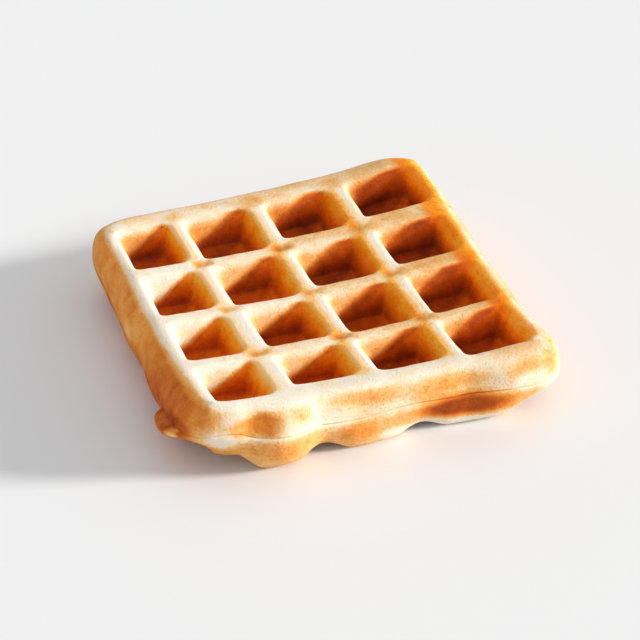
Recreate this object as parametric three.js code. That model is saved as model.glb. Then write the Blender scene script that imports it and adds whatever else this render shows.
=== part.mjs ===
import * as THREE from 'three';

// A square Belgian waffle with a four by four grid of pockets on both faces, baked in a
// two-part iron whose halves leave a seam round the side. Millimetres, +Z up.
//
// The form is worked out in grid coordinates: the regular lattice that the iron prints, with
// the origin at the middle crossing. place() then leans and narrows the plan as the baked
// piece does, and the finished solid is moved so that its origin is the middle of its base.

// The grid
const CELLS = 4;
const PITCH = 28;
const POCKET_HALF = 10.2;     // from a pocket's middle to where its wall reaches rib height
const POCKET_SQUARENESS = 7;  // exponent of the rounded square that a pocket is in plan
const WALL_SLOPE = 3.5;       // rise of a pocket wall for one step outwards
const SHOULDER = 8;           // drop over which a wall rolls over into the rib's top
const FILLET = 4;             // rise over which a wall runs out into the pocket's floor

// Heights
const THICKNESS = 20.5;       // at the middle crossing
const CURL_X = 1.6;           // how far the top face rises, CURL_REACH out from the middle
const CURL_Y = 2.2;
const TWIST = 1;
const CURL_REACH = 50;
const TOP_DEPTH = 10.5;
const TOP_DEPTH_PER_COLUMN = 0.35;
const TOP_DEPTH_PER_ROW = -0.4;
const BASE_DEPTH = 6.6;
// The top pockets didn't all fill alike: how far the left and the front wall of each stand
// inwards of the regular grid. Rows run from the front to the back, columns from the left
const LEFT_WALL_IN = [
  [1.2, 0, -0.9, -0.6],
  [1.0, 0.6, -0.3, 0.1],
  [0, -1.3, -0.9, 0.3],
  [0.3, -1.4, -0.7, 0],
];
const FRONT_WALL_IN = [
  [1.0, 3.6, 2.1, -0.4],
  [-0.2, 0.3, -0.7, -0.7],
  [0, -1.3, 0.6, 2.0],
  [0.2, -0.5, 2.0, 3.1],
];
// Where the edge of the base stands off the plate: place, width and height of each lift
const BASE_LIFTS = [
  { x: -54, y: -54, width: 17, lift: 6.5 },
  { x: -43.5, y: -54, width: 5, lift: 1.2 },
  { x: -18, y: -54, width: 9, lift: 3.0 },
  { x: 14, y: -54, width: 9, lift: 2.5 },
  { x: 54, y: -54, width: 14, lift: 6.0 },
  { x: 54, y: 54, width: 15, lift: 2.0 },
  { x: -54, y: 54, width: 15, lift: 2.0 },
];

// The plan
const CORE_HALF = 54;         // the gridded part of each face, inside the rounded rim
const RIM_SQUARENESS = 8;     // higher keeps the rounding nearer the corners
const LEAN = 2.0;             // how far an edge's ends shift along X from its middle
const NARROW_FROM = -36;      // the left column is squeezed from here outwards
const NARROW_OVER = 16;
const NARROW_BY = 2.2;

// The side: how far each side stands out from the core at the seam, how square its upper
// shoulder is, and how far the lower half draws in again
const SIDES = {
  left: { reach: 8.2, shoulder: 1.6, draft: 3.0 },
  right: { reach: 7.4, shoulder: 3.2, draft: 3.0 },
  front: { reach: 5.6, shoulder: 3.0, draft: 1.0 },
  back: { reach: 12.4, shoulder: 3.4, draft: 5.0 },
};
const SEAM_DROP = 10.5;       // from the top face down to the seam
const SEAM_GROOVE = 0.7;
const SEAM_GAP = 0.9;
const BASE_SHOULDER = 2.6;    // squareness of the lower half's rounded edge

// Where the batter filled the iron unevenly. Each entry is a soft hump along one side: where
// its middle is (along X on the front and back, along Y on the left and right), how wide it
// is, how far it pushes out the seam and, further, the lower half, and how much it lifts the
// seam
const UNEVENNESS = [
  { side: 'front', at: -60, width: 14, seam: 0, lower: -5.0, rise: 0 },
  { side: 'front', at: -50, width: 9, seam: 0, lower: 1.0, rise: 0 },
  { side: 'front', at: -43.5, width: 5, seam: 0, lower: -1.0, rise: 0 },
  { side: 'front', at: -33, width: 12, seam: 3.0, lower: 0, rise: 0 },
  { side: 'front', at: -18, width: 9, seam: 0, lower: -2.0, rise: 0 },
  { side: 'front', at: -4, width: 14, seam: 0, lower: 2.0, rise: 0 },
  { side: 'front', at: 14, width: 9, seam: 0, lower: -1.5, rise: 0 },
  { side: 'front', at: 30, width: 15, seam: 0, lower: 2.0, rise: 0 },
  { side: 'front', at: 45, width: 15, seam: 4.0, lower: 0, rise: 0 },
  { side: 'front', at: 56, width: 12, seam: 0, lower: -5.0, rise: 0 },
  { side: 'right', at: -56, width: 15, seam: 3.0, lower: -3.0, rise: 0 },
  { side: 'right', at: 56, width: 14, seam: -1.5, lower: 0, rise: 0 },
  { side: 'left', at: 58, width: 16, seam: -0.6, lower: 0, rise: 0 },
  { side: 'left', at: 14, width: 15, seam: 0.8, lower: 0, rise: 0 },
  { side: 'left', at: -58, width: 18, seam: 0.5, lower: -5.0, rise: 0 },
  { side: 'front', at: 8, width: 22, seam: 0, lower: 0, rise: 2.6 },
  { side: 'front', at: 36, width: 20, seam: 0, lower: 0, rise: 1.2 },
  { side: 'left', at: -2, width: 16, seam: -0.7, lower: 0, rise: 0 },
  { side: 'back', at: 62, width: 17, seam: -4.0, lower: 0, rise: 0 },
  { side: 'back', at: -62, width: 22, seam: -5.0, lower: 0, rise: 0 },
];
// A drip that hangs out below the seam on the left side, near the front corner: its place
// along Y and below the top face, half its width and height, and how far it stands out
const DRIP = { at: -37.5, below: 13.5, width: 8, height: 5.2, reach: 4.8 };
// A hollow in the front side, as the drip is described
const HOLLOW = { at: -41, below: 6.5, width: 6.5, height: 4.2, depth: 1.6 };

const RIGHT_ANGLE = Math.PI / 2;

// The mesh: where grid lines run inside one cell, at the edges of the rib, of the wall and of
// the flat floor, and the steps round the side
const CELL_LINES = [1.5, 3.4, 5.6, 7.6, 11.2, 16.8, 20.4, 22.4, 24.6, 26.5];
const UPPER_STEPS = 4;
const LOWER_STEPS = 6;

// The lower of a and b, rounded off where they differ by less than blend
function smoothMin(a, b, blend) {
  const near = Math.max(blend - Math.abs(a - b), 0) / blend;
  return Math.min(a, b) - near * near * blend / 4;
}

function smoothMax(a, b, blend) {
  return -smoothMin(-a, -b, blend);
}

function smoothStep(value) {
  const t = Math.min(Math.max(value, 0), 1);
  return t * t * (3 - 2 * t);
}

function sum(list, valueOf) {
  return list.reduce((total, entry) => total + valueOf(entry), 0);
}

// A round hump: 1 at its middle, 0 from width away
function hump(distance, width) {
  const t = Math.min(Math.abs(distance) / width, 1);
  return (1 - t * t) ** 2;
}

// A round hump on a side, around a place along it and below the top face
function spot(along, below, place) {
  return hump(Math.hypot((along - place.at) / place.width, (below - place.below) / place.height), 1);
}

// How far the face lies below its rib tops: 0 on a rib, -depth on a pocket's floor
function pocketRelief(x, y, pocketAt) {
  const span = CELLS * PITCH / 2;
  const cellOf = (value) => Math.min(Math.max(Math.floor((value + span) / PITCH), 0), CELLS - 1);
  const column = cellOf(x);
  const row = cellOf(y);
  const { depth, leftIn, frontIn } = pocketAt(column, row);
  const fromMiddle = (value, cell, wallIn) => {
    const middle = (cell + 0.5) * PITCH - span + wallIn / 2;
    return Math.abs(value - middle) / (POCKET_HALF - wallIn / 2);
  };
  const u = fromMiddle(x, column, leftIn);
  const v = fromMiddle(y, row, frontIn);
  const size = (u ** POCKET_SQUARENESS + v ** POCKET_SQUARENESS) ** (1 / POCKET_SQUARENESS);
  const wall = smoothMin(0, (size - 1) * POCKET_HALF * WALL_SLOPE, SHOULDER);
  return smoothMax(-depth, wall, FILLET);
}

// Pockets get deeper towards the right and the front
function topPocket(column, row) {
  const middle = (CELLS - 1) / 2;
  return {
    depth: TOP_DEPTH + TOP_DEPTH_PER_COLUMN * (column - middle) + TOP_DEPTH_PER_ROW * (row - middle),
    leftIn: LEFT_WALL_IN[row][column],
    frontIn: FRONT_WALL_IN[row][column],
  };
}

function basePocket() {
  return { depth: BASE_DEPTH, leftIn: 0, frontIn: 0 };
}

function topLevel(x, y) {
  const curl = CURL_X * x * x + CURL_Y * y * y + TWIST * x * y;
  return THICKNESS + curl / CURL_REACH ** 2;
}

function topHeight(x, y) {
  return topLevel(x, y) + pocketRelief(x, y, topPocket);
}

function baseLevel(x, y) {
  return sum(BASE_LIFTS, (at) => at.lift * hump(Math.hypot(x - at.x, y - at.y), at.width));
}

function baseHeight(x, y) {
  return baseLevel(x, y) - pocketRelief(x, y, basePocket);
}

// From grid coordinates to the baked plan: the left and right edges lean, the more the
// further out, and the left column is narrower than the rest
function place(x, y, z) {
  const outwards = Math.abs(x) / CORE_HALF;
  const upwards = Math.min(Math.max(y / CORE_HALF, -1), 1);
  const lean = LEAN * Math.sin(RIGHT_ANGLE * upwards) * outwards ** 2;
  const narrow = NARROW_BY * smoothStep((NARROW_FROM - x) / NARROW_OVER);
  return [x + lean + narrow, y, z];
}

// Where the lines of the core's mesh run, from -CORE_HALF to CORE_HALF
function coreLines() {
  const lines = [-CORE_HALF];
  for (let cell = 0; cell < CELLS; cell += 1) {
    for (const offset of CELL_LINES) {
      const line = (cell - CELLS / 2) * PITCH + offset;
      if (Math.abs(line) < CORE_HALF) lines.push(line);
    }
  }
  lines.push(CORE_HALF);
  return lines;
}

// The grid indices of the core's outline, once round, counter-clockwise from above
function coreOutline(steps) {
  const outline = [];
  for (let i = 0; i < steps; i += 1) outline.push([i, 0]);
  for (let j = 0; j < steps; j += 1) outline.push([steps, j]);
  for (let i = steps; i > 0; i -= 1) outline.push([i, steps]);
  for (let j = steps; j > 0; j -= 1) outline.push([0, j]);
  return outline;
}

// The outward direction at a point of the core's outline, which turns smoothly at corners
function outward(x, y) {
  const power = RIM_SQUARENESS - 1;
  const dx = Math.sign(x) * Math.abs(x / CORE_HALF) ** power;
  const dy = Math.sign(y) * Math.abs(y / CORE_HALF) ** power;
  const length = Math.hypot(dx, dy);
  return [dx / length, dy / length];
}

// One section through the side, as points [distance outwards, height], from the top rim to
// the rim of the base
function sideSection(x, y, dx, dy) {
  const share = {
    left: Math.max(-dx, 0) ** 2,
    right: Math.max(dx, 0) ** 2,
    front: Math.max(-dy, 0) ** 2,
    back: Math.max(dy, 0) ** 2,
  };
  const mixed = (key) => sum(Object.keys(SIDES), (side) => share[side] * SIDES[side][key]);
  const uneven = (key) => sum(UNEVENNESS, (entry) => {
    const along = entry.side === 'front' || entry.side === 'back' ? x : y;
    return share[entry.side] * entry[key] * hump(along - entry.at, entry.width);
  });
  const top = topLevel(x, y);
  const seam = mixed('reach') + uneven('seam');
  const seamDrop = SEAM_DROP - uneven('rise');
  const upperPower = 2 / mixed('shoulder');
  const section = [];
  for (let k = 1; k <= UPPER_STEPS; k += 1) {
    const angle = RIGHT_ANGLE * k / UPPER_STEPS;
    const drop = seamDrop * (1 - Math.max(Math.cos(angle), 0) ** upperPower);
    const dent = share.front * HOLLOW.depth * spot(x, drop, HOLLOW);
    section.push([seam * Math.sin(angle) ** upperPower - dent, top - drop]);
  }
  section.push([seam - SEAM_GROOVE, top - seamDrop - SEAM_GAP / 2]);

  const lower = uneven('lower') - mixed('draft');
  const lowerTop = top - seamDrop - SEAM_GAP;
  const lowerDrop = lowerTop - baseLevel(x, y);
  const lowerPower = 2 / BASE_SHOULDER;
  for (let k = 0; k < LOWER_STEPS; k += 1) {
    const angle = RIGHT_ANGLE * k / LOWER_STEPS;
    const height = lowerTop - lowerDrop * Math.sin(angle) ** lowerPower;
    const distance = (seam + lower * Math.sin(angle)) * Math.cos(angle) ** lowerPower;
    const drip = share.left * DRIP.reach * spot(y, top - height, DRIP);
    section.push([distance + drip, height]);
  }
  return section;
}

function waffleGeometry() {
  const lines = coreLines();
  const steps = lines.length - 1;
  const positions = [];
  const triangles = [];

  const addFace = (height) => {
    const first = positions.length;
    for (const y of lines) {
      for (const x of lines) positions.push(place(x, y, height(x, y)));
    }
    return (i, j) => first + j * lines.length + i;
  };
  const addQuad = (a, b, c, d) => triangles.push(a, b, c, a, c, d);

  const top = addFace(topHeight);
  const base = addFace(baseHeight);
  for (let j = 0; j < steps; j += 1) {
    for (let i = 0; i < steps; i += 1) {
      addQuad(top(i, j), top(i + 1, j), top(i + 1, j + 1), top(i, j + 1));
      addQuad(base(i, j), base(i, j + 1), base(i + 1, j + 1), base(i + 1, j));
    }
  }

  // Each column of the side runs from the top rim over the seam to the base rim
  const outline = coreOutline(steps);
  const columns = outline.map(([i, j]) => {
    const x = lines[i];
    const y = lines[j];
    const [dx, dy] = outward(x, y);
    const column = [top(i, j)];
    for (const [distance, height] of sideSection(x, y, dx, dy)) {
      column.push(positions.length);
      positions.push(place(x + distance * dx, y + distance * dy, height));
    }
    column.push(base(i, j));
    return column;
  });
  columns.forEach((column, n) => {
    const next = columns[(n + 1) % columns.length];
    for (let k = 0; k < column.length - 1; k += 1) {
      addQuad(column[k], column[k + 1], next[k + 1], next[k]);
    }
  });

  const geometry = new THREE.BufferGeometry();
  geometry.setAttribute('position', new THREE.Float32BufferAttribute(positions.flat(), 3));
  geometry.setIndex(triangles);
  geometry.computeBoundingBox();
  const { min, max } = geometry.boundingBox;
  geometry.translate(-(min.x + max.x) / 2, -(min.y + max.y) / 2, -min.z);
  geometry.computeVertexNormals();
  return geometry;
}

const bakedBatter = new THREE.MeshStandardMaterial({ color: 0xd9a05a, roughness: 0.7, metalness: 0 });

const waffle = new THREE.Mesh(waffleGeometry(), bakedBatter);
waffle.name = 'waffle';

const part = new THREE.Group();
part.add(waffle);

export default part;
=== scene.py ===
import math
import bpy
import numpy as np
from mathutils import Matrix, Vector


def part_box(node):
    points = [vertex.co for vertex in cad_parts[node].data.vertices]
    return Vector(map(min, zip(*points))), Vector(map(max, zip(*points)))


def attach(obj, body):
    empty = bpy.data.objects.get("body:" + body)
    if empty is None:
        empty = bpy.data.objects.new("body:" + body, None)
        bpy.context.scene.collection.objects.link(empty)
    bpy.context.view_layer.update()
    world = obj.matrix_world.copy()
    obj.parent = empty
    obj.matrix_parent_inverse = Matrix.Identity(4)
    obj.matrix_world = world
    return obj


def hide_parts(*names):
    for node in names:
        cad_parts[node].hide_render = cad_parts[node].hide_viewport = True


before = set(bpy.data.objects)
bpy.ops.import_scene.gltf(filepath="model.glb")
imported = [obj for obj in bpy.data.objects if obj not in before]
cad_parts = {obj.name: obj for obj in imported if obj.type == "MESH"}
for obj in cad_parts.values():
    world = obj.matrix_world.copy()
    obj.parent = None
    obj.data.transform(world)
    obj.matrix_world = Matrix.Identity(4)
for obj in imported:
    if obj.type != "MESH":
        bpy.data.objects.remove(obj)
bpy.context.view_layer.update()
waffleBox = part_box("waffle")
mm = 0.001

# Every length below is in millimetres, in grid coordinates: the lattice that the iron prints,
# with its origin at the middle crossing and z = 0 on the floor.

waffleForm = {
    "pockets": 4,              # along each side
    "pitch": 28.0,             # rib to rib
    "pocketHalf": 10.2,        # pocket's middle to where its wall reaches rib height
    "pocketSquareness": 9.0,   # higher gives sharper pocket corners
    "wallSlope": 3.5,
    "shoulder": 8.0,           # drop over which a wall rolls over into the rib's top
    "fillet": 4.0,
    "thickness": 20.5,         # at the middle crossing
    "curlX": 1.6, "curlY": 2.2, "twist": 1.0, "curlReach": 50.0,
    "cornerCurl": 1.8, "cornerCurlFrom": 26.0, "cornerCurlOver": 30.0,
    "topDepth": 10.5, "deeperPerColumn": 0.35, "deeperPerRow": -0.4,
    "baseDepth": 6.6,
    "coreHalf": 54.0,          # the gridded part inside the rounded rim
    "rimSquareness": 8.0,
    "lean": 2.0, "narrowFrom": -52.0, "narrowOver": 16.0, "narrowBy": 2.2,
    "drawnFrom": 42.0, "drawnOver": 10.0, "drawnOut": 1.0,
    "cornerPull": ((0.8, 0.0), (0.2, 0.8)),  # left and right corner, front then back
    "pullFrom": 46.0, "pullOver": 8.0, "pullPower": 1.5,
    "seamDrop": 10.5, "seamGap": 0.9,
    "seamLip": (0.12, -0.10, -0.55, -0.75, -0.50),    # a lip, then a groove, ring by ring
    "seamSink": (0.15, 0.35, 0.50, 0.70, 0.85),       # share of the gap
    "seamLeft": 0.25, "seamFrontFrom": -54.0, "seamFrontOver": 5.0,
    "baseShoulder": 2.6,
    "liftOut": 3.5, "liftFrom": 3.0, "liftOver": 4.0,  # where the side follows the top's relief
    "cornerPasses": 90, "cornerWeight": 0.5,          # rounding of the side at the corners
    "cornerFrom": 43.0, "cornerOver": 8.0, "cornerOut": 2.5,
    "lineCounts": (2, 12, 4, 3),            # mesh lines over rib, wall, fillet and half floor
    "linePlaces": (14.0, 12.6, 7.2, 5.0, 0.0),
    "lineClear": 0.4,                       # no line nearer than this to the core's edge
    "upperSteps": 18, "lowerSteps": 22,
}

# How far the left and front wall of each top pocket stand inwards, rows from the front
leftWallIn = np.array([
    (1.2, 0.0, -0.9, -0.6),
    (1.0, 0.6, -0.3, 0.1),
    (0.0, -1.3, -0.9, 0.3),
    (-0.6, -1.4, -0.7, 0.0),
])
frontWallIn = np.array([
    (1.0, 3.6, 2.1, -0.4),
    (-0.2, 0.3, -0.7, -0.7),
    (0.0, -1.3, 0.6, 2.0),
    (0.2, -0.5, 2.0, 3.1),
])

# How far each side stands out at the seam, how square its shoulder is, how much it draws in
# from there to the floor
sideForm = {
    "left": {"reach": 8.2, "shoulder": 2.0, "draft": 3.0},
    "right": {"reach": 6.0, "shoulder": 3.2, "draft": 3.0},
    "front": {"reach": 5.6, "shoulder": 3.0, "draft": 1.0},
    "back": {"reach": 12.4, "shoulder": 3.4, "draft": 5.0},
}

# Humps along the sides: side, middle, width, push at the seam, further push of the lower
# half, lift of the seam
unevenness = (
    ("front", -60.0, 14.0, 0.0, -5.0, 0.0),
    ("front", -50.0, 9.0, 0.0, 0.2, 0.0),
    ("front", -43.5, 5.0, 0.0, -1.0, 0.0),
    ("front", -31.5, 12.0, 3.4, 0.0, 0.0),
    ("front", -18.0, 9.0, 0.0, -2.0, 0.0),
    ("front", -4.0, 14.0, 0.0, 2.0, 0.0),
    ("front", 14.0, 9.0, 0.0, -1.5, 0.0),
    ("front", 30.0, 15.0, 0.0, 2.0, 0.0),
    ("front", 45.0, 19.0, 3.8, 0.0, 0.0),
    ("front", 57.0, 13.0, 2.0, -5.0, 0.0),
    ("right", -57.0, 17.0, 6.4, -2.0, 0.0),
    ("right", 56.0, 24.0, -4.2, 0.0, 0.0),
    ("right", -22.0, 16.0, 0.9, 0.0, 0.0),
    ("left", 58.0, 16.0, 0.6, 0.0, 0.0),
    ("left", 14.0, 15.0, 0.8, 0.0, 0.0),
    ("left", -58.0, 18.0, 0.5, -5.0, 0.0),
    ("front", 8.0, 22.0, 0.0, 0.0, 1.8),
    ("front", -52.0, 13.0, 0.0, 0.0, 3.0),
    ("front", -30.0, 26.0, 0.0, 0.0, 1.2),
    ("front", 36.0, 20.0, 0.0, 0.0, 1.2),
    ("left", -2.0, 16.0, -0.7, 0.0, 0.0),
    ("back", 50.0, 12.0, 1.0, 0.0, 0.0),
    ("back", -60.0, 16.0, 0.6, 0.0, 0.0),
)

# Where the edge of the base stands off the floor: x, y, width, lift
baseLifts = (
    (-54.0, -54.0, 17.0, 7.4),
    (-44.0, -54.0, 7.0, 1.8),
    (-54.0, -43.0, 12.0, 4.8),
    (-18.0, -54.0, 9.0, 3.0),
    (14.0, -54.0, 9.0, 2.5),
    (54.0, -54.0, 14.0, 6.0),
    (54.0, 54.0, 15.0, 2.0),
    (-54.0, 54.0, 15.0, 2.0),
)

# Batter that ran out of the seam on the left: an ear, tilted along the side
drip = {"at": -39.0, "below": 12.4, "width": 7.6, "height": 4.2, "tilt": 0.22, "reach": 4.2,
        "roundness": 0.8}

# A slanted hollow in the front: it deepens from one end to the other, then ends steeply
wedge = {"from": -58.0, "to": -39.5, "endOver": 7.0, "depth": 1.5,
         "levelFrom": 7.0, "levelTo": 1.0, "edgeOver": 3.0, "lowest": 8.6, "lowestOver": 1.8}


# Value noise: hashed numbers on a cube lattice, joined by smooth weights, from -1 to 1
def softNoise(x, y, z, size, seed):
    x, y, z = np.broadcast_arrays(x / size, y / size, z / size)
    cell = [np.floor(value) for value in (x, y, z)]
    inside = [value - corner for value, corner in zip((x, y, z), cell)]
    smooth = [t * t * (3 - 2 * t) for t in inside]
    total = np.zeros(x.shape)
    for i in (0, 1):
        for j in (0, 1):
            for k in (0, 1):
                corner = [c.astype(np.int64) + step for c, step in zip(cell, (i, j, k))]
                weight = np.ones(x.shape)
                for t, step in zip(smooth, (i, j, k)):
                    weight = weight * (t if step else 1 - t)
                total += weight * latticeNumber(*corner, seed)
    return 2 * total - 1


# A number from 0 to 1 for each lattice corner: its three indices mixed by odd multipliers
def latticeNumber(i, j, k, seed):
    mixed = (i * 73856093) ^ (j * 19349663) ^ (k * 83492791) ^ (seed * 7919 + 104729)
    mixed = (mixed ^ (mixed >> 13)) & 0x7fffffff
    mixed = (mixed * 1103515245 + 12345) & 0x7fffffff
    mixed = (mixed ^ (mixed >> 11)) * 69069 & 0x7fffffff
    return (mixed ^ (mixed >> 15)) / 0x7fffffff


# The lower of a and b, less a quarter of blend where they meet
def smoothMin(a, b, blend):
    near = np.maximum(blend - np.abs(a - b), 0) / blend
    return np.minimum(a, b) - near * near * blend / 4


# The higher of a and b, and a quarter of blend more where they meet
def smoothMax(a, b, blend):
    return -smoothMin(-a, -b, blend)


# 3 t squared less 2 t cubed, with t held between 0 and 1
def smoothStep(value):
    t = np.clip(value, 0, 1)
    return t * t * (3 - 2 * t)


# A soft edge: from 0 at start to 1 at start and over
def softRise(value, start, over):
    return smoothStep((value - start) / over)


# The same edge the other way, from 1 down to 0
def softFall(value, start, over):
    return 1 - softRise(value, start, over)


# A round hump: (1 - t squared) squared, with t the distance over the width, 0 from there on
def hump(distance, width):
    t = np.minimum(np.abs(distance) / width, 1)
    return (1 - t * t) ** 2


print("waffle: shape functions ready")

irregular = {
    "seed": 11,
    "edgeWander": 0.28, "edgeWanderSize": 9.0,     # pocket edges wander sideways
    "edgeShake": 0.12, "edgeShakeSize": 3.2,
    "depthSpread": 0.35,
    "faceRoll": 0.16, "faceRollSize": 15.0,        # slow waves of the faces
    "faceGrain": 0.07, "faceGrainSize": 2.6, "baseGrainFrom": 2.0,
    "sideSeed": 41, "sideRoll": 0.40, "sideRollSize": 9.0,
    "sideGrain": 0.10, "sideGrainSize": 2.4, "sideNoiseFrom": 4.0,
    "dimpleDepth": 0.9, "dimpleLong": 5.2, "dimpleWide": 3.0, "dimpleEdge": 3.0,
    "dimpleShare": (0.25, 1.0), "dimpleLeft": 1.2, "dimpleBack": 0.6, "dimpleSlideY": 0.6,
    "columnCrown": 0.12, "rowCrown": 0.14, "crownReach": 1.6, "crownBlend": 0.2,
    "rightSharper": 4.0, "sharperAspect": 0.6, "sharperOver": 0.4,
    "rightOut": 0.4,
    "lastOut": (1.3, 0.7, 0.5, 0.8),               # further out in the last column, front first
}


# Depth below the rib tops. A pocket is a rounded square |u|^n + |v|^n whose wall rises at a
# fixed slope, rolled over into the rib above and filleted into the floor below
def pocketRelief(x, y, depth, leftIn, frontIn, seed):
    form, odd = waffleForm, irregular
    span = form["pockets"] * form["pitch"] / 2
    x = x + odd["edgeWander"] * softNoise(x, y, 0 * x, odd["edgeWanderSize"], seed)
    x = x + odd["edgeShake"] * softNoise(x, y, 0 * x, odd["edgeShakeSize"], seed + 1)
    y = y + odd["edgeWander"] * softNoise(x, y, 0 * x, odd["edgeWanderSize"], seed + 2)
    y = y + odd["edgeShake"] * softNoise(x, y, 0 * x, odd["edgeShakeSize"], seed + 3)
    column = np.clip(np.floor((x + span) / form["pitch"]), 0, form["pockets"] - 1).astype(int)
    row = np.clip(np.floor((y + span) / form["pitch"]), 0, form["pockets"] - 1).astype(int)
    chance = np.random.default_rng(seed)
    deep = depth[row, column] + chance.uniform(-1, 1, depth.shape)[row, column] * odd["depthSpread"]

    def fromMiddle(value, cell, wallIn):
        middle = (cell + 0.5) * form["pitch"] - span + wallIn / 2
        return (value - middle) / (form["pocketHalf"] - wallIn / 2)

    u = fromMiddle(x, column, leftIn[row, column])
    v = np.abs(fromMiddle(y, row, frontIn[row, column]))
    last = column == form["pockets"] - 1
    rightOut = np.where(last, np.array(odd["lastOut"])[row], 0) + odd["rightOut"]
    u = np.where(u > 0, u / (1 + rightOut / form["pocketHalf"]), u)
    sharper = smoothStep((u - odd["sharperAspect"] * v) / odd["sharperOver"])
    shoulder = form["shoulder"] - odd["rightSharper"] * sharper
    power = form["pocketSquareness"]
    size = (np.abs(u) ** power + v ** power) ** (1 / power)
    rise = (size - 1) * form["pocketHalf"] * form["wallSlope"]
    wall = smoothMin(0 * x, rise, shoulder)
    return smoothMax(-deep, wall, form["fillet"])


# The top face without its pockets: raised with x squared, y squared and x times y, and once
# more towards the corner at the right and back
def topLevel(x, y):
    form = waffleForm
    curl = form["curlX"] * x * x + form["curlY"] * y * y + form["twist"] * x * y
    start, over = form["cornerCurlFrom"], form["cornerCurlOver"]
    corner = form["cornerCurl"] * softRise(x, start, over) * softRise(y, start, over)
    return form["thickness"] + curl / form["curlReach"] ** 2 + corner


# The base face without its pockets: flat, with a hump of lift at each place in baseLifts
def baseLevel(x, y):
    level = 0 * x
    for liftX, liftY, width, lift in baseLifts:
        level = level + lift * hump(np.hypot(x - liftX, y - liftY), width)
    return level


# How far a point is off the nearest rib line, counted to the right or to the back
def offLine(along):
    pitch, outermost = waffleForm["pitch"], waffleForm["pockets"] / 2
    return along - pitch * np.round(np.clip(along / pitch, -outermost, outermost))


# Ribs are crowned: their height falls with the square of the distance from the rib's line,
# and each point follows the lesser of the falls from its two lines
def ribCrown(x, y):
    odd = irregular
    half = waffleForm["pitch"] / 2 - waffleForm["pocketHalf"]
    offColumn, offRow = np.abs(offLine(x)) / half, np.abs(offLine(y)) / half
    column = odd["columnCrown"] * np.minimum(offColumn, odd["crownReach"]) ** 2
    row = odd["rowCrown"] * np.minimum(offRow, odd["crownReach"]) ** 2
    return smoothMin(column, row, odd["crownBlend"])


# Shallow hollows where ribs cross, longer along the rows: a sum of oval humps
def crossingDimples(x, y, seed):
    odd = irregular
    chance = np.random.default_rng(seed)
    crossings = waffleForm["pitch"] * np.array((-1, 0, 1))
    hollow = 0 * x
    for crossX in crossings:
        for crossY in crossings:
            share = chance.uniform(*odd["dimpleShare"])
            slideX, slideY = chance.uniform(-1, 1, 2)
            middleX = crossX - odd["dimpleLeft"] + slideX
            middleY = crossY + odd["dimpleBack"] + slideY * odd["dimpleSlideY"]
            far = np.hypot((x - middleX) / odd["dimpleLong"], (y - middleY) / odd["dimpleWide"])
            hollow = hollow + share * odd["dimpleDepth"] * hump(far, 1.0)
    return hollow


# From grid coordinates to the baked plan: edges lean along x with a sine of y, the left column
# is squeezed, the right edge is drawn out and the corners are pulled in
def place(x, y):
    form = waffleForm
    outwards = np.abs(x) / form["coreHalf"]
    upwards = np.clip(y / form["coreHalf"], -1, 1)
    lean = form["lean"] * np.sin(upwards * math.pi / 2) * outwards ** 2
    lean = lean + form["drawnOut"] * softRise(x, form["drawnFrom"], form["drawnOver"])
    lean = lean + form["narrowBy"] * softFall(x, form["narrowFrom"], form["narrowOver"])
    nearX, nearY = [np.clip((np.abs(value) - form["pullFrom"]) / form["pullOver"], 0, 1)
                    for value in (x, y)]
    pull = np.array(form["cornerPull"])[(y > 0) * 1, (x > 0) * 1]
    pull = pull * (nearX * nearY) ** form["pullPower"]
    return x + lean - np.sign(x) * pull, y - np.sign(y) * pull


# Mesh lines across the core: dense over shoulders and walls, sparse over ribs and floors
def coreLines():
    form = waffleForm
    places, counts = form["linePlaces"], form["lineCounts"]
    parts = [np.linspace(-a, -b, n, endpoint=False)
             for a, b, n in zip(places[:-1], places[1:], counts)]
    half = np.concatenate(parts)
    cell = np.concatenate([half, [0.0], -half[:0:-1]])
    middles = (np.arange(form["pockets"]) - (form["pockets"] - 1) / 2) * form["pitch"]
    lines = (middles[:, None] + cell[None, :]).ravel()
    core = form["coreHalf"]
    return np.concatenate([[-core], lines[np.abs(lines) < core - form["lineClear"]], [core]])


# Height of the top face, its depth below the rib tops, and the hollows where its ribs cross:
# the pockets' relief less crown and hollows, with slow waves and grain added
def topFace(x, y):
    form, odd = waffleForm, irregular
    middle = (form["pockets"] - 1) / 2
    rows, columns = np.mgrid[0:form["pockets"], 0:form["pockets"]]
    depth = (form["topDepth"] + form["deeperPerColumn"] * (columns - middle)
             + form["deeperPerRow"] * (rows - middle))
    relief = pocketRelief(x, y, depth, leftWallIn, frontWallIn, odd["seed"])
    onRib = smoothStep(1 + relief / odd["dimpleEdge"])
    relief = relief - ribCrown(x, y)
    dimple = crossingDimples(x, y, odd["seed"] + 5) * onRib
    height = topLevel(x, y) + relief - dimple
    height += odd["faceRoll"] * softNoise(x, y, 0 * x, odd["faceRollSize"], odd["seed"] + 6)
    height += odd["faceGrain"] * softNoise(x, y, relief, odd["faceGrainSize"], odd["seed"] + 7)
    return height, relief, dimple


# Height of the base face and depth of its pockets: the same relief upside down and shallower,
# with grain inside the pockets alone
def baseFace(x, y):
    form, odd = waffleForm, irregular
    depth = np.full((form["pockets"], form["pockets"]), form["baseDepth"])
    relief = pocketRelief(x, y, depth, 0 * depth, 0 * depth, odd["seed"] + 20)
    height = baseLevel(x, y) - relief
    grain = softNoise(x, y, relief, odd["faceGrainSize"], odd["seed"] + 27)
    height += odd["faceGrain"] * (grain + 1) * smoothStep(-relief / odd["baseGrainFrom"])
    return height, relief


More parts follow.
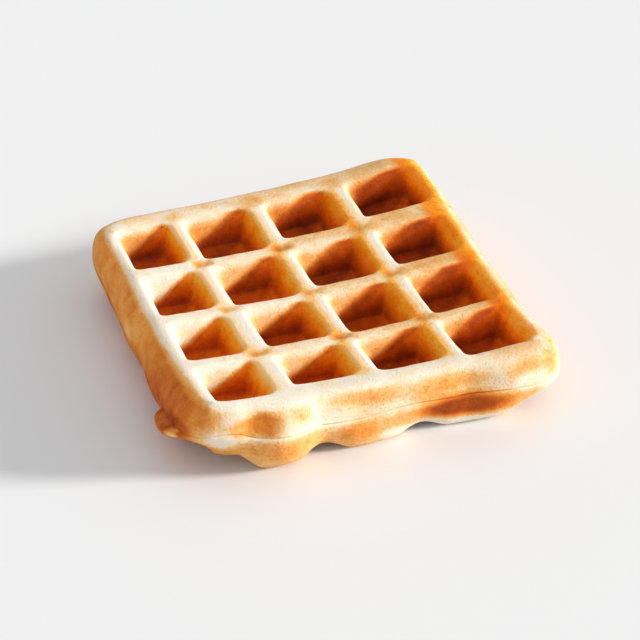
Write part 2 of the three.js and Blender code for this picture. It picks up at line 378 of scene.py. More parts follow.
# Outward direction at the core's outline: the slope of |x|^n + |y|^n, at length 1
def outward(x, y):
    core, power = waffleForm["coreHalf"], waffleForm["rimSquareness"] - 1
    dx = np.sign(x) * np.abs(x / core) ** power
    dy = np.sign(y) * np.abs(y / core) ** power
    length = np.hypot(dx, dy)
    return dx / length, dy / length


# Hollows in the sides: side, middle, level below the top, half width to the left and to the
# right of the middle, half height, depth
sidePits = (
    ("front", -3.0, 6.0, 12.0, 12.0, 3.0, 0.6),
    ("front", 28.0, 5.5, 10.0, 10.0, 3.0, 0.5),
    ("front", 50.0, 6.0, 6.0, 6.0, 3.4, 1.0),
)


# How deep the slanted hollow is, from 0 to 1: it grows evenly along x and then ends steeply,
# between a slanted upper edge and its lowest level
def wedgeShape(x, level):
    along = np.clip((x - wedge["from"]) / (wedge["to"] - wedge["from"]), 0, 1)
    edge = wedge["levelFrom"] + along * (wedge["levelTo"] - wedge["levelFrom"])
    shape = along * softFall(x, wedge["to"], wedge["endOver"])
    shape = shape * softRise(level, edge, wedge["edgeOver"])
    return shape * softFall(level, wedge["lowest"], wedge["lowestOver"])


# Distance outwards of the seam, further push below it and drop down to it, round the outline:
# each side's own figures weighed by its share, with the humps of unevenness added
def seamCourse(x, y, share):
    mixed = {key: sum(share[side] * sideForm[side][key] for side in sideForm)
             for key in ("reach", "shoulder", "draft")}
    seam, below, drop = mixed["reach"], -mixed["draft"], waffleForm["seamDrop"] + 0 * x
    for side, at, width, pushSeam, pushLower, raised in unevenness:
        along = x if side in ("front", "back") else y
        here = share[side] * hump(along - at, width)
        seam = seam + pushSeam * here
        below = below + pushLower * here
        drop = drop - raised * here
    return seam, below, drop, mixed["shoulder"]


# The ear of the drip: a tilted oval, 1 less the squared distance, raised to its roundness
def dripEar(y, down, share):
    down = down - drip["below"] + drip["tilt"] * (y - drip["at"])
    far = np.hypot((y - drip["at"]) / drip["width"], down / drip["height"])
    return share["left"] * np.maximum(1 - far * far, 0) ** drip["roundness"]


# The rings of the side, shoulder to base: a superellipse quarter above the seam, the lip and
# groove of the seam, and another quarter below it, one column for each point of the outline
def sideProfile(x, y, share, top):
    form = waffleForm
    seam, below, drop, squareness = seamCourse(x, y, share)
    turn = np.linspace(0, math.pi / 2, form["upperSteps"] + 1)[1:, None]
    power = 2 / squareness
    upperOut = seam * np.sin(turn) ** power
    upperUp = top - drop * (1 - np.maximum(np.cos(turn), 0) ** power)

    lip, sink = np.array(form["seamLip"])[:, None], np.array(form["seamSink"])[:, None]
    nearEnd = share["front"] * softFall(x, form["seamFrontFrom"], form["seamFrontOver"])
    sharp = np.maximum(1 - nearEnd - share["left"], form["seamLeft"] * share["left"])
    seamOut = seam + lip * sharp
    seamUp = top - drop - form["seamGap"] * sink

    turn = np.linspace(0, math.pi / 2, form["lowerSteps"] + 1)[:-1, None]
    power = 2 / form["baseShoulder"]
    lowerTop = top - drop - form["seamGap"]
    lowerUp = lowerTop - (lowerTop - baseLevel(x, y)) * np.sin(turn) ** power
    lowerOut = (seam + below * np.sin(turn)) * np.cos(turn) ** power
    ear = dripEar(y, top - lowerUp, share)
    lowerOut = lowerOut + drip["reach"] * ear

    out = np.concatenate([upperOut, seamOut, lowerOut])
    up = np.concatenate([upperUp, seamUp, lowerUp])
    return out, up, np.concatenate([0 * upperOut, 0 * seamOut, ear])


# The side with its hollows and noise, rounded at the corners by averaging round each ring.
# Near the shoulder it is lifted by as much as the top face is there
def sideRings(x, y, lift):
    form, odd = waffleForm, irregular
    dx, dy = outward(x, y)
    share = {"left": np.maximum(-dx, 0) ** 2, "right": np.maximum(dx, 0) ** 2,
             "front": np.maximum(-dy, 0) ** 2, "back": np.maximum(dy, 0) ** 2}
    top = topLevel(x, y)
    out, up, ear = sideProfile(x, y, share, top)
    level = top - up
    for side, at, below, wideLeft, wideRight, high, deep in sidePits:
        along = (x if side in ("front", "back") else y) - at
        wide = np.where(along < 0, wideLeft, wideRight)
        far = np.hypot(along / wide, (level - below) / high)
        out = out - share[side] * deep * hump(far, 1.0)
    out = out - share["front"] * wedge["depth"] * wedgeShape(x, level)
    ringX, ringY = x + out * dx, y + out * dy
    away = smoothStep(out / odd["sideNoiseFrom"])
    roll = softNoise(ringX, ringY, up, odd["sideRollSize"], odd["sideSeed"])
    grain = softNoise(ringX, ringY, up, odd["sideGrainSize"], odd["sideSeed"] + 1)
    out = out + away * (odd["sideRoll"] * roll + odd["sideGrain"] * grain)
    lifted = softFall(level, form["liftFrom"], form["liftOver"])
    up = up + lift * softFall(out, 0, form["liftOut"]) * lifted
    atCorner = softRise(np.minimum(np.abs(x), np.abs(y)), form["cornerFrom"], form["cornerOver"])
    weight = form["cornerWeight"] * atCorner * smoothStep(out / form["cornerOut"])
    ringX, ringY = x + out * dx, y + out * dy
    for step in range(form["cornerPasses"]):
        ringX = ringX + weight * (neighbourMean(ringX) - ringX)
        ringY = ringY + weight * (neighbourMean(ringY) - ringY)
    return ringX, ringY, up, level, share, ear


# Halfway between the two neighbours round the outline
def neighbourMean(values):
    return (np.roll(values, 1, axis=1) + np.roll(values, -1, axis=1)) / 2


# The closed solid: top grid, base grid and the rings between their outlines, as one mesh
def waffleMesh():
    lines = coreLines()
    count = len(lines)
    x, y = np.meshgrid(lines, lines)
    topZ, topRelief, dimple = topFace(x, y)
    baseZ, baseRelief = baseFace(x, y)
    index = np.arange(count * count).reshape(count, count)
    outline = np.concatenate([index[0, :-1], index[:-1, -1], index[-1, :0:-1], index[:0:-1, 0]])
    outX, outY = x.ravel()[outline], y.ravel()[outline]
    lift = topZ.ravel()[outline] - topLevel(outX, outY)
    ringX, ringY, ringZ, level, share, ear = sideRings(outX, outY, lift)
    rings, around = ringX.shape
    ringIndex = 2 * count * count + np.arange(rings * around).reshape(rings, around)
    columns = np.concatenate([outline[None, :], ringIndex, outline[None, :] + count * count])

    a, b = index[:-1, :-1].ravel(), index[:-1, 1:].ravel()
    c, d = index[1:, 1:].ravel(), index[1:, :-1].ravel()
    topQuads = np.stack([a, b, c, d], 1)
    baseQuads = np.stack([a, d, c, b], 1) + count * count
    upper, nextUpper = columns[:-1], np.roll(columns[:-1], -1, axis=1)
    below, nextBelow = columns[1:], np.roll(columns[1:], -1, axis=1)
    sideQuads = np.stack([upper, below, nextBelow, nextUpper], -1).reshape(-1, 4)

    gridX = np.concatenate([x.ravel(), x.ravel(), ringX.ravel()])
    gridY = np.concatenate([y.ravel(), y.ravel(), ringY.ravel()])
    gridZ = np.concatenate([topZ.ravel(), baseZ.ravel(), ringZ.ravel()])
    points = np.stack([*place(gridX, gridY), gridZ], 1)
    quads = np.concatenate([topQuads, baseQuads, sideQuads])
    facts = {"x": x, "y": y, "topRelief": topRelief, "dimple": dimple, "baseRelief": baseRelief,
             "ringX": ringX, "ringY": ringY, "level": level, "share": share, "ear": ear}
    return points, quads, facts


# Browning with painted shade, from 0 for pale to 1 for burnt, and the share of amber, from 0 for
# the pale crust ramp to 1 for the amber ramp; the amber is painted shade and painted glow as well
# as real browning.
# "Across" and "back" are changes per pitch to the right and to the back
tone = {
    "ribCentre": -0.04, "ribShoulder": 0.06, "ribAcross": 0.06,
    "columnRib": 0.10, "columnAcross": 0.07,      # on the left half of each column rib
    # Amber on the left half of each column rib: painted shade on the side turned from the lamp
    "columnShade": 0.80, "columnShadeAcross": 0.15,
    "rowRib": 0.19, "rowFront": 0.13,             # on its rear half and its front half
    # dimple: darker in the hollows where ribs cross, by their depth, a painted shade
    "crossing": 0.15, "crossingWide": 6.0, "dimple": 0.34,
    "wall": 0.31, "wallAcross": 0.13,
    "wallBack": 0.16, "cornerWall": 0.14,         # in the last row, and at its left end
    # Amber tones inside the pockets: painted shade below the slant and on the right walls, lighter
    # near the tops, browner to the right and the back
    "shadeDeepTone": 0.52, "shadeTop": 0.16, "shadeAcross": 0.06, "mostAcross": 0.05,
    "shadeBack": 0.03,
    # Amber on the still lit part below the slant, more of it to the right: painted shade
    "litShade": 0.25, "litShadeAcross": 0.3,
    # Lighter painted shade on the right walls, a painted glow on the last column's right walls, and
    # the painted shadow of the right rib across each rear wall
    "rightWall": -0.13, "lastWall": -0.15, "slantTone": 0.71,
    # Darker towards the pocket floors, real browning with painted shade; paler again on the flat
    # floor
    "floor": 0.36, "floorFlat": -0.17,
    # Where the painted shadow of the right rib lies across each rear wall, and the painted shade by
    # depth over distance from the right wall
    "slant": 0.50, "slantReach": 10.0, "slantStart": -3.0, "slantAcross": -1.2,
    "slantBack": -0.4, "shadeReach": 10.4, "leastReach": 0.5,
    # The right rim's inner part: browner, with a light amber painted as a glow through the thin rim
    "rimInner": 0.34, "rimFall": 0.16, "rimRow": 0.10, "rimRowWide": 5.0, "rimGlow": 0.95,
    "frontRim": -0.08,
    # The left rim: browner and more amber where it rolls over to the left side, partly the side's
    # tan and partly painted shade
    "leftRim": 0.30, "leftTop": 0.07, "leftRimShade": 0.45, "leftRimBend": 3.0,
    "sides": {"left": 0.36, "right": 0.42, "front": 0.07, "back": 0.30},
    "leftLower": 0.26, "leftFront": 0.18,
    # Amber on the left side, painted shade, kept off most of the ear, which is painted as lit
    "leftSideShade": 0.45, "earLit": 0.8,
    "wrap": 0.14, "lowerHalf": 0.16,
    # The front's slanted hollow: browner and more amber, painted shade
    "wedge": 0.34, "wedgeShift": 1.0, "wedgePower": 0.5, "wedgeShade": 0.35,
    "frontAmber": 0.28, "mostAmber": 0.6,
    "brownest": 0.74, "brownestBlend": 0.2,
    "streaks": 0.05, "streakSeed": 72, "narrowStreak": 1.8, "wideStreak": 5.0,
    "narrowStretch": 3.0, "wideStretch": 2.0,     # how much longer than wide
    "patches": 0.08, "patchSize": 8.0, "patchSeed": 71,
    "hair": 0.01,                                 # keeps a row's last point in its last pocket
}

# Soft edges between tones: where each starts and over how much it is done, in x, y, depth below
# the rib tops, level below the top face, or distance off a rib line
softEdges = {
    "alongRow": (-1.0, 3.0), "backRim": (49.0, 5.0),
    "leftHalf": (-2.6, 3.0), "frontOutline": (-54.0, 4.0), "rightOutline": (53.0, 1.6),
    "rearHalf": (-1.5, 3.5), "offFront": (-50.0, 6.0), "frontRim": (-54.0, 5.0),
    "inside": (45.0, 5.0), "ribShoulder": (0.4, 0.8),
    "lastRow": (30.0, 8.0), "rearWall": (14.0, 4.0), "leftColumn": (-34.0, 6.0),
    "wall": (0.4, 3.2), "rightWall": (-1.5, 3.0),
    "slant": (0.0, 2.8), "slantTop": (0.2, 0.7), "shade": (0.36, 0.28),
    "deep": (6.0, 4.5), "upperWall": (0.5, 4.5), "floor": (3.0, 7.5), "flatFloor": (9.0, 1.2),
    "lastColumn": (46.0, 4.0), "lastWall": (0.0, 7.0), "columnTop": (0.0, 1.2),
    "rimStart": (47.5, 4.0), "rimEnd": (55.2, 1.6), "rimFall": (52.0, 4.0),
    "rimRowBack": (10.0, 20.0), "rimRowFront": (-44.0, 8.0),
    "rimDepth": (0.5, 2.5), "rimGlow": (0.3, 1.5),
    "leftRim": (-59.5, 2.5), "leftRimBend": (-40.0, 50.0), "leftTop": (-55.0, 4.0),
    "leftLower": (3.0, 14.0), "leftFront": (-40.0, 50.0),
    "wrapAlong": (-58.0, 11.0), "wrapDown": (4.0, 5.0), "belowSeam": (0.5, 1.5),
    "sideStart": (0.0, 2.0), "leftStart": (0.3, 1.1), "frontAmber": (0.12, 0.3),
    "thinRim": (47.0, 4.0),
}

# Browner and paler places on the sides, some of them painted light and shade as noted: side,
# middle, level, half width, half height, change
sidePatches = (
    # Paler at the lower front-left corner: painted light on a face in shade
    ("front", -54.5, 12.3, 8.5, 8.8, -0.46),
    ("front", -52.0, 3.6, 5.0, 3.6, -0.16),
    ("front", -29.0, 3.0, 6.0, 4.0, 0.04),
    # Paler beside it on the left: painted light on a face in shade
    ("left", -57.0, 10.5, 7.0, 6.0, -0.46),
    ("front", -27.0, 4.5, 5.5, 4.5, 0.12),
    ("front", -4.0, 3.6, 18.0, 4.2, 0.20),
    ("front", 16.0, 5.5, 16.0, 6.0, 0.22),
    ("front", 27.0, 4.5, 13.0, 4.5, 0.20),
    ("front", 57.0, 3.5, 5.0, 7.0, 0.20),
    ("front", -33.0, 15.5, 14.0, 7.0, 0.14),
    ("front", -8.0, 15.5, 10.0, 5.0, 0.19),
    ("front", 29.0, 14.0, 21.0, 7.0, 0.70),
    ("right", -58.0, 6.0, 14.0, 12.0, -0.34),
    ("front", 20.0, 12.0, 16.0, 6.0, 0.24),
    ("front", 48.0, 3.6, 11.0, 3.8, 0.24),
    ("front", 3.5, 19.0, 7.0, 4.0, -0.26),
    ("front", 56.0, 13.0, 7.0, 5.0, -0.30),
    ("front", 26.0, 20.0, 28.0, 4.5, -0.34),
    # Painted highlight on a bulge of the left side
    ("left", 10.0, 8.0, 7.0, 4.0, -0.20),
    # Darker crease above the drip's ear: painted shade
    ("left", -46.0, 8.6, 9.0, 3.2, 0.34),
    # The drip's ear: paler, with small bright spots: painted light and highlights on a part in
    # shade
    ("left", -46.6, 12.2, 3.2, 2.6, -0.70),
    ("left", -39.0, 15.0, 7.5, 5.0, -0.62),
    ("left", -41.0, 16.6, 3.0, 2.6, -0.50),
    # A thin pale line along the seam on the left: painted highlight
    ("left", 40.0, 9.8, 30.0, 1.6, -0.14),
)


# The named soft edge, rising or falling with value
def risingEdge(name, value):
    return softRise(value, *softEdges[name])


def fallingEdge(name, value):
    return softFall(value, *softEdges[name])


# How far each point belongs to a rib along a row, to the left half of a rib along a column and
# to the rear half of a rib along a row, from its distances to the two nearest rib lines
def ribShares(x, y):
    offColumn, offRow = offLine(x), offLine(y)
    alongRow = risingEdge("alongRow", np.abs(offColumn) - np.abs(offRow))
    alongRow = np.maximum(alongRow, risingEdge("backRim", y))
    leftHalf = fallingEdge("leftHalf", offColumn) * (1 - alongRow)
    leftHalf = leftHalf * risingEdge("frontOutline", y) * fallingEdge("rightOutline", x)
    rearHalf = risingEdge("rearHalf", offRow) * risingEdge("offFront", y)
    return alongRow, leftHalf, rearHalf


# Dry crust: ribs are browned on their left and rear halves and where they cross, and give way
# with depth to walls that are browner towards the right, the back and the left rear corner
def ribWallTone(sunk, x, y):
    pitch = waffleForm["pitch"]
    across = x / pitch
    alongRow, leftHalf, rearHalf = ribShares(x, y)
    column = leftHalf * (tone["columnRib"] + tone["columnAcross"] * (across + 1))
    row = tone["rowFront"] + (tone["rowRib"] - tone["rowFront"]) * rearHalf
    rib = column + alongRow * (row - column) + tone["ribAcross"] * across + tone["ribCentre"]
    rib = rib + tone["frontRim"] * fallingEdge("frontRim", y)
    crossing = hump(np.hypot(offLine(x), offLine(y)), tone["crossingWide"])
    rib = rib + tone["crossing"] * crossing * fallingEdge("inside", np.maximum(np.abs(x), -y))
    shoulder = tone["ribShoulder"] + tone["ribAcross"] * across
    rib = rib + risingEdge("ribShoulder", sunk) * (1 - leftHalf) * (shoulder - rib)
    wall = tone["wall"] + tone["wallAcross"] * across
    lastRow = risingEdge("lastRow", y)
    wall = wall + tone["wallBack"] * lastRow * risingEdge("rearWall", y % pitch)
    wall = wall + tone["cornerWall"] * lastRow * fallingEdge("leftColumn", x)
    return rib + risingEdge("wall", sunk) * (wall - rib), leftHalf


# Inside a pocket, for painted shade: the part below a slant across its rear wall, where the right
# rib's shadow is painted, which part of that lies in the lamp's shade, by depth over distance from
# the right wall, and how far a point is on the right wall, which counts as all in shade
def pocketShares(sunk, x, y):
    pitch = waffleForm["pitch"]
    span = pitch * waffleForm["pockets"] / 2 - tone["hair"]
    offX = np.clip(x, -span, span) % pitch - pitch / 2
    offY = np.clip(y, -span, span) % pitch - pitch / 2
    start = tone["slantStart"] + (tone["slantAcross"] * x + tone["slantBack"] * y) / pitch
    slant = sunk - tone["slant"] * (tone["slantReach"] - offX) - start
    slanted = risingEdge("slant", slant) * risingEdge("slantTop", sunk)
    right = risingEdge("rightWall", offX - np.abs(offY))
    shade = risingEdge("shade", sunk / np.maximum(tone["shadeReach"] - offX, tone["leastReach"]))
    return slanted, shade + right * (1 - shade), right


# How brown each point of a gridded face is and how much amber it takes: the pale crust tone, with a
# painted shadow below the slant, mixed with the amber of painted shade on the slanted parts, the
# right walls and the column ribs' left halves, of real browning with painted shade in the deep
# parts, and of painted glow on the thin rim on the right
def pocketTones(relief, x, y):
    sunk, pitch = -relief, waffleForm["pitch"]
    across, back = x / pitch, y / pitch
    crustAndShade, leftHalf = ribWallTone(sunk, x, y)
    slanted, shade, right = pocketShares(sunk, x, y)
    # Painted shadow: the rear wall below the slant takes a dark tone where the right rib's shadow
    # falls
    crustAndShade = crustAndShade + slanted * (1 - right) * (tone["slantTone"] - crustAndShade)
    # Amber share: painted shade below the slant and on the right walls, a little on the lit part
    # too, and real browning deep down
    lit = np.clip(tone["litShade"] + tone["litShadeAcross"] * across, 0, 1)
    amberShadeGlow = np.maximum(slanted * (shade + lit * (1 - shade)), risingEdge("deep", sunk))
    # Painted shade: amber on the left half of each column rib
    columnShade = tone["columnShade"] + tone["columnShadeAcross"] * across
    amberShadeGlow = np.maximum(amberShadeGlow, leftHalf * columnShade)
    # Tone on the amber ramp: painted shade, lighter near the wall tops and darker towards the floor
    # with real browning; the lit part below the slant keeps the painted shadow's dark tone
    amberShadeGlowTone = tone["shadeDeepTone"] + np.minimum(tone["shadeAcross"] * across, tone["mostAcross"])
    amberShadeGlowTone = amberShadeGlowTone + tone["shadeBack"] * back - tone["shadeTop"] * fallingEdge("upperWall", sunk)
    amberShadeGlowTone = amberShadeGlowTone + tone["floor"] * risingEdge("floor", sunk)
    amberShadeGlowTone = amberShadeGlowTone + (1 - shade) * (tone["slantTone"] - amberShadeGlowTone)
    amberShadeGlowTone = amberShadeGlowTone + tone["rightWall"] * right + tone["floorFlat"] * risingEdge("flatFloor", sunk)
    # Painted glow: lighter amber on the right walls of the last column
    lastWall = right * risingEdge("lastColumn", x) * fallingEdge("lastWall", sunk)
    amberShadeGlowTone = amberShadeGlowTone + tone["lastWall"] * lastWall
    amberShadeGlowTone = amberShadeGlowTone + leftHalf * fallingEdge("columnTop", sunk) * (crustAndShade - amberShadeGlowTone)
    return rimTones(sunk, x, y, crustAndShade, amberShadeGlowTone, amberShadeGlow)


# The amber inner part of the right rim, browned and painted with a glow as if lit through, the
# browned left rim, more amber partly as painted shade, and the mix of the pale and the amber tone
def rimTones(sunk, x, y, crustAndShade, amberShadeGlowTone, amberShadeGlow):
    inner = risingEdge("rimStart", x) * risingEdge("frontOutline", y) * fallingEdge("rimEnd", x)
    nearFront = fallingEdge("rimRowBack", y) * risingEdge("offFront", y)
    ribEnd = hump(offLine(y), tone["rimRowWide"]) * nearFront * risingEdge("rimRowFront", y)
    rim = tone["rimInner"] - tone["rimFall"] * risingEdge("rimFall", x) + tone["rimRow"] * ribEnd
    # Painted glow: the right rim's inner part takes a light amber, as if lit through
    amberShadeGlowTone = amberShadeGlowTone + inner * fallingEdge("rimDepth", sunk) * (rim - amberShadeGlowTone)
    amberShadeGlow = amberShadeGlow + (tone["rimGlow"] - amberShadeGlow) * inner * fallingEdge("rimGlow", sunk)
    # The left rim: browner and more amber, partly the side's tan and partly painted shade
    bend = tone["leftRimBend"] * fallingEdge("leftRimBend", y)
    leftRim = fallingEdge("leftRim", x - bend)
    crustAndShade = crustAndShade + tone["leftRim"] * leftRim + tone["leftTop"] * fallingEdge("leftTop", x)
    amberShadeGlow = np.maximum(amberShadeGlow, tone["leftRimShade"] * leftRim)
    amberShadeGlowTone = amberShadeGlowTone + leftRim * (crustAndShade - amberShadeGlowTone)
    return crustAndShade + amberShadeGlow * (amberShadeGlowTone - crustAndShade), amberShadeGlow


# How brown the sides are: each side's own tone by its share, with the lower half of the front, the
# patches, some of them painted light and shade, the painted shade of the hollow and the streaks of
# the left side on top
def sideTone(ringX, ringY, level, share):
    side = sum(share[name] * own for name, own in tone["sides"].items()) + 0 * level
    side = side + share["left"] * tone["leftLower"] * risingEdge("leftLower", level)
    side = side + share["left"] * tone["leftFront"] * fallingEdge("leftFront", ringY)
    wrap = fallingEdge("wrapAlong", ringX) * fallingEdge("wrapDown", level)
    below = risingEdge("belowSeam", level - waffleForm["seamDrop"])
    side = side + share["front"] * (wrap * tone["wrap"] + below * tone["lowerHalf"])
    for name, at, middle, wide, high, change in sidePatches:
        along = ringX if name in ("front", "back") else ringY
        far = np.hypot((along - at) / wide, (level - middle) / high)
        side = side + share[name] * change * hump(far, 1.0)
    # Painted shade in the front's slanted hollow, browner where it is deeper
    hollow = wedgeShape(ringX - tone["wedgeShift"], level)
    side = side + tone["wedge"] * share["front"] * hollow ** tone["wedgePower"]
    side = smoothMin(side, tone["brownest"] + 0 * side, tone["brownestBlend"])
    seed = tone["streakSeed"]
    narrow = softNoise(0, ringY, level / tone["narrowStretch"], tone["narrowStreak"], seed)
    wide = softNoise(0, ringY, level / tone["wideStretch"], tone["wideStreak"], seed + 1)
    return side + tone["streaks"] * share["left"] * (narrow + wide), hollow


# Brown and amber for every point: the faces, then the sides, where the face's tone gives way to
# each side's own within a few millimetres. The left side takes amber as painted shade, less on the
# ear, which is painted as lit; the front's hollow takes it as painted shade, its tans as real
# browning
def finishTones(facts):
    x, y = facts["x"], facts["y"]
    top, topAmberShadeGlow = pocketTones(facts["topRelief"], x, y)
    # Painted shade: darker in the hollows where ribs cross, by their depth
    top = top + tone["dimple"] * facts["dimple"]
    base, baseAmberShadeGlow = pocketTones(facts["baseRelief"], x, y)
    share, level = facts["share"], facts["level"]
    ringX, ringY = facts["ringX"], facts["ringY"]
    edge, edgeAmberShadeGlow = pocketTones(0 * ringX, ringX, ringY)
    side, hollow = sideTone(ringX, ringY, level, share)
    start, over = [usual + share["left"] * (left - usual)
                   for usual, left in zip(softEdges["sideStart"], softEdges["leftStart"])]
    given = softRise(level, start, over)
    side = edge + given * (side - edge)
    # Painted shade on the left side as amber, less on the ear, painted as lit; in the front's
    # hollow painted shade, on its tans real browning
    sideAmberShadeGlow = tone["leftSideShade"] * share["left"] ** 2 * (1 - tone["earLit"] * facts["ear"])
    front = tone["wedgeShade"] * hollow + tone["frontAmber"] * risingEdge("frontAmber", side)
    sideAmberShadeGlow = np.minimum(sideAmberShadeGlow + front * share["front"], tone["mostAmber"])
    sideAmberShadeGlow = edgeAmberShadeGlow + given * (sideAmberShadeGlow - edgeAmberShadeGlow)
    brownAndShade = np.concatenate([top.ravel(), base.ravel(), side.ravel()])
    amberShadeGlow = np.concatenate([topAmberShadeGlow.ravel(), baseAmberShadeGlow.ravel(), sideAmberShadeGlow.ravel()])
    return brownAndShade, amberShadeGlow


# Puts points in metres, quads and one number per point and attribute into a mesh object
def meshObject(name, points, quads, attributes):
    mesh = bpy.data.meshes.new(name)
    mesh.vertices.add(len(points))
    mesh.vertices.foreach_set("co", points.astype(np.float32).ravel())
    mesh.loops.add(quads.size)
    mesh.loops.foreach_set("vertex_index", quads.astype(np.int32).ravel())
    mesh.polygons.add(len(quads))
    mesh.polygons.foreach_set("loop_start", np.arange(0, quads.size, 4, dtype=np.int32))
    mesh.update(calc_edges=True)
    mesh.polygons.foreach_set("use_smooth", np.ones(len(quads), dtype=bool))
    for label, values in attributes.items():
        attribute = mesh.attributes.new(label, "FLOAT", "POINT")
        attribute.data.foreach_set("value", values.astype(np.float32))
    mesh.validate()
    piece = bpy.data.objects.new(name, mesh)
    bpy.context.scene.collection.objects.link(piece)
    return piece


points, quads, facts = waffleMesh()
low, high = np.array(waffleBox[0]), np.array(waffleBox[1])
shift = (low + high) / 2 - (points.min(0) + points.max(0)) / 2 * mm
shift[2] = low[2]
brownAndShade, amberShadeGlow = finishTones(facts)
brownAndShade += tone["patches"] * softNoise(*points.T, tone["patchSize"], tone["patchSeed"])
tones = {"browningAndShade": brownAndShade, "amberShadeGlow": amberShadeGlow, "thinRim": risingEdge("thinRim", points[:, 0])}
waffle = meshObject("bakedWaffle", points * mm + shift, quads, tones)
print("waffle:", len(points), "points,", 2 * len(quads), "triangles")


# Red, green and blue as seen, from 0 to 255, made linear by the standard screen curve
def linearColour(red, green, blue):
    values = np.array([red, green, blue]) / 255
    linear = np.where(values <= 0.04045, values / 12.92, ((values + 0.055) / 1.055) ** 2.4)
    return (*linear.tolist(), 1.0)


crust = {
    "crustAndShade": (                           # browning, then red, green and blue as seen
        (0.00, (236, 227, 207)),
        (0.10, (240, 215, 179)),
        (0.22, (235, 190, 130)),
        (0.36, (227, 164, 89)),
        (0.50, (214, 136, 53)),
        (0.66, (192, 98, 28)),
        (0.82, (146, 62, 12)),
        (1.00, (92, 34, 8)),
    ),
    # The amber ramp: painted shade and painted glow, and real browning deep in the pockets
    "amberShadeGlow": (
        (0.05, (255, 200, 108)),
        (0.22, (255, 176, 40)),
        (0.36, (253, 144, 11)),
        (0.50, (232, 112, 5)),
        (0.64, (204, 84, 3)),
        (0.80, (156, 57, 2)),
        (0.95, (104, 30, 1)),
    ),
    "mottleSize": 4.0, "mottleDetail": 3, "mottle": 0.28,
    "grainSize": 0.7, "grainDetail": 2, "grain": 0.30, "grainOnBrown": -0.22,
    # pore: how much the pores darken where the bump dents them, a painted shade in the pits
    "poreSize": 1.5, "pore": 0.05, "poreRange": (0.24, 0.08),
    "freckleSize": 1.1, "freckleDetail": 3, "freckle": 0.11, "freckleRange": (0.50, 0.70),
    "freckleFrom": (0.04, 0.20), "freckleUpTo": (0.45, 0.28),   # browning where freckles show
    "roughness": 0.62, "specular": 0.12,
    "subsurface": 0.6, "subsurfaceDepth": 3.0, "thinDepth": 5.0, "scatter": (1.0, 0.32, 0.08),
    "bump": 0.6, "bumpHeight": 0.3, "poreBump": 0.7,
}


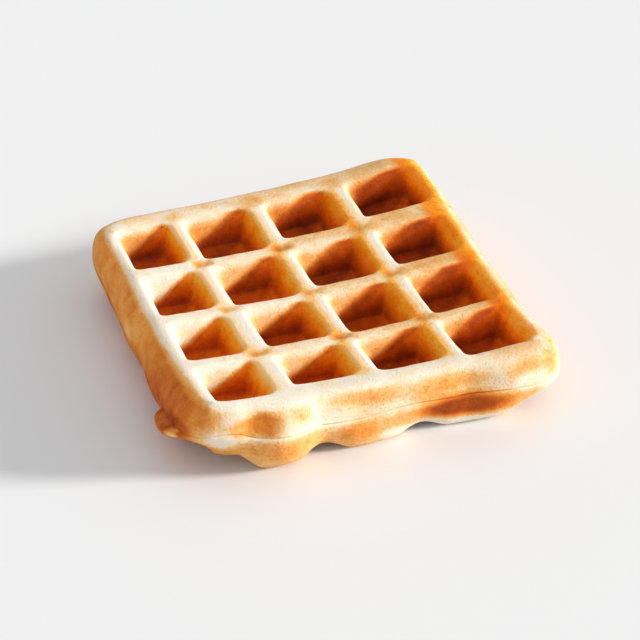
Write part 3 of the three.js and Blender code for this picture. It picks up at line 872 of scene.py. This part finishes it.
# Baked crust: browning with painted shade, broken up by two sizes of noise, freckles and pores
# darkened as painted shade in their pits, is read off a pale and an amber ramp, and the share of
# amber, painted shade and glow as well as real browning, mixes the two. Light travels further
# through the thin rim
def crustMaterial():
    material = bpy.data.materials.new("bakedCrust")
    material.use_nodes = True
    nodes, links = material.node_tree.nodes, material.node_tree.links
    shader = nodes["Principled BSDF"]
    coordinates = nodes.new("ShaderNodeTexCoord").outputs["Object"]

    def attribute(name):
        node = nodes.new("ShaderNodeAttribute")
        node.attribute_name = name
        return node.outputs["Fac"]

    def noise(name):
        node = nodes.new("ShaderNodeTexNoise")
        node.inputs["Scale"].default_value = 1 / (crust[name + "Size"] * mm)
        node.inputs["Detail"].default_value = crust[name + "Detail"]
        links.new(coordinates, node.inputs["Vector"])
        return node.outputs["Fac"]

    def maths(operation, first, second, third=0.0):
        node = nodes.new("ShaderNodeMath")
        node.operation = operation
        for socket, value in zip(node.inputs, (first, second, third)):
            if isinstance(value, (int, float)):
                socket.default_value = value
            else:
                links.new(value, socket)
        return node.outputs[0]

    def between(value, limits):
        start, end = limits
        node = nodes.new("ShaderNodeMapRange")
        node.inputs["From Min"].default_value = start
        node.inputs["From Max"].default_value = end
        links.new(value, node.inputs["Value"])
        return node.outputs["Result"]

    browningAndShade = attribute("browningAndShade")
    mottle = maths("MULTIPLY", maths("SUBTRACT", noise("mottle"), 0.5), crust["mottle"])
    grainNoise = noise("grain")
    grainReach = maths("MULTIPLY_ADD", browningAndShade, crust["grainOnBrown"], crust["grain"])
    grain = maths("MULTIPLY", maths("SUBTRACT", grainNoise, 0.5), grainReach)
    cells = nodes.new("ShaderNodeTexVoronoi")
    cells.inputs["Scale"].default_value = 1 / (crust["poreSize"] * mm)
    links.new(coordinates, cells.inputs["Vector"])
    pore = between(cells.outputs["Distance"], crust["poreRange"])
    # Painted shade in the pits of the pores
    poreDark = maths("MULTIPLY", pore, crust["pore"])
    freckle = between(noise("freckle"), crust["freckleRange"])
    freckle = maths("MULTIPLY", freckle, between(browningAndShade, crust["freckleFrom"]))
    freckle = maths("MULTIPLY", freckle, between(browningAndShade, crust["freckleUpTo"]))
    freckle = maths("MULTIPLY", freckle, crust["freckle"])
    brownShadeTotal = maths("ADD", maths("ADD", browningAndShade, mottle),
                       maths("ADD", maths("ADD", grain, freckle), poreDark))

    def ramp(colours):
        node = nodes.new("ShaderNodeValToRGB")
        stops = node.color_ramp.elements
        for position, colour in colours[1:-1]:
            stops.new(position)
        for stop, (position, colour) in zip(stops, colours):
            stop.position = position
            stop.color = linearColour(*colour)
        links.new(brownShadeTotal, node.inputs["Fac"])
        return node.outputs["Color"]

    mix = nodes.new("ShaderNodeMix")
    mix.data_type = "RGBA"
    links.new(attribute("amberShadeGlow"), mix.inputs["Factor"])
    links.new(ramp(crust["crustAndShade"]), mix.inputs["A"])
    links.new(ramp(crust["amberShadeGlow"]), mix.inputs["B"])
    links.new(mix.outputs["Result"], shader.inputs["Base Color"])

    shader.inputs["Roughness"].default_value = crust["roughness"]
    shader.inputs["Specular IOR Level"].default_value = crust["specular"]
    shader.inputs["Subsurface Weight"].default_value = crust["subsurface"]
    shader.inputs["Subsurface Radius"].default_value = crust["scatter"]
    depth = maths("MULTIPLY_ADD", attribute("thinRim"), crust["thinDepth"] * mm,
                  crust["subsurfaceDepth"] * mm)
    links.new(depth, shader.inputs["Subsurface Scale"])
    bump = nodes.new("ShaderNodeBump")
    bump.inputs["Strength"].default_value = crust["bump"]
    bump.inputs["Distance"].default_value = crust["bumpHeight"] * mm
    height = maths("SUBTRACT", grainNoise, maths("MULTIPLY", pore, crust["poreBump"]))
    links.new(height, bump.inputs["Height"])
    links.new(bump.outputs["Normal"], shader.inputs["Normal"])
    return material


waffle.data.materials.append(crustMaterial())
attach(waffle, "root")
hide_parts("waffle")
print("waffle: crust finish set")

studio = {
    "floorSize": 4.0,                        # in metres
    "floorColour": (0.852, 0.855, 0.858, 1.0), "floorRoughness": 0.6,
    "keyDirection": (0.80, -0.32, 0.28),     # from the waffle towards the lamp
    "keySpread": 11.0, "keyStrength": 4.2,   # spread in degrees
    "keyColour": (1.0, 0.985, 0.965),
    "skyColour": (0.985, 0.99, 1.0, 1.0), "skyStrength": 0.64,
}


# A plain square at the height that the waffle rests on
def studioFloor():
    half = studio["floorSize"] / 2
    corners = np.array([(-half, -half), (half, -half), (half, half), (-half, half)])
    points = np.column_stack([corners, np.full(4, waffleBox[0][2])])
    mesh = bpy.data.meshes.new("studioFloor")
    mesh.from_pydata(points.tolist(), [], [(0, 1, 2, 3)])
    floor = bpy.data.objects.new("studioFloor", mesh)
    bpy.context.scene.collection.objects.link(floor)
    material = bpy.data.materials.new("palePaint")
    material.use_nodes = True
    shader = material.node_tree.nodes["Principled BSDF"]
    shader.inputs["Base Color"].default_value = studio["floorColour"]
    shader.inputs["Roughness"].default_value = studio["floorRoughness"]
    mesh.materials.append(material)


# A broad sun from the right and front, and an even pale sky to fill the shadows
def studioLights():
    towards = np.array(studio["keyDirection"])
    towards = towards / np.linalg.norm(towards)
    lamp = bpy.data.lights.new("keyLight", "SUN")
    lamp.angle = math.radians(studio["keySpread"])
    lamp.energy = studio["keyStrength"]
    lamp.color = studio["keyColour"]
    key = bpy.data.objects.new("keyLight", lamp)
    key.location = towards
    flat = math.hypot(towards[0], towards[1])
    key.rotation_euler = (math.atan2(flat, towards[2]), 0, math.atan2(towards[0], -towards[1]))
    bpy.context.scene.collection.objects.link(key)
    world = bpy.data.worlds.new("studioSky")
    world.use_nodes = True
    sky = world.node_tree.nodes["Background"]
    sky.inputs["Color"].default_value = studio["skyColour"]
    sky.inputs["Strength"].default_value = studio["skyStrength"]
    bpy.context.scene.world = world


cameraView = {
    "azimuth": -21.447, "elevation": 33.649,
    "distance": 852.5,                       # from the aim point
    "aim": (0.21, -5.37, 13.11),             # in grid coordinates
    "lens": 150.0, "sensor": 36.0,
}


# A long lens, set back from the aim point along azimuth and elevation
def studioCamera():
    azimuth, elevation = math.radians(cameraView["azimuth"]), math.radians(cameraView["elevation"])
    back = np.array([math.sin(azimuth) * math.cos(elevation),
                     -math.cos(azimuth) * math.cos(elevation), math.sin(elevation)])
    data = bpy.data.cameras.new("studioCamera")
    data.lens = cameraView["lens"]
    data.sensor_width = cameraView["sensor"]
    camera = bpy.data.objects.new("studioCamera", data)
    aim = np.array(cameraView["aim"]) * mm + shift
    camera.location = aim + back * cameraView["distance"] * mm
    camera.rotation_euler = (math.pi / 2 - elevation, 0, azimuth)
    bpy.context.scene.collection.objects.link(camera)
    bpy.context.scene.camera = camera


studioFloor()
studioLights()
studioCamera()
bpy.context.scene.view_settings.view_transform = "Standard"
print("studio: floor, lights and camera set")
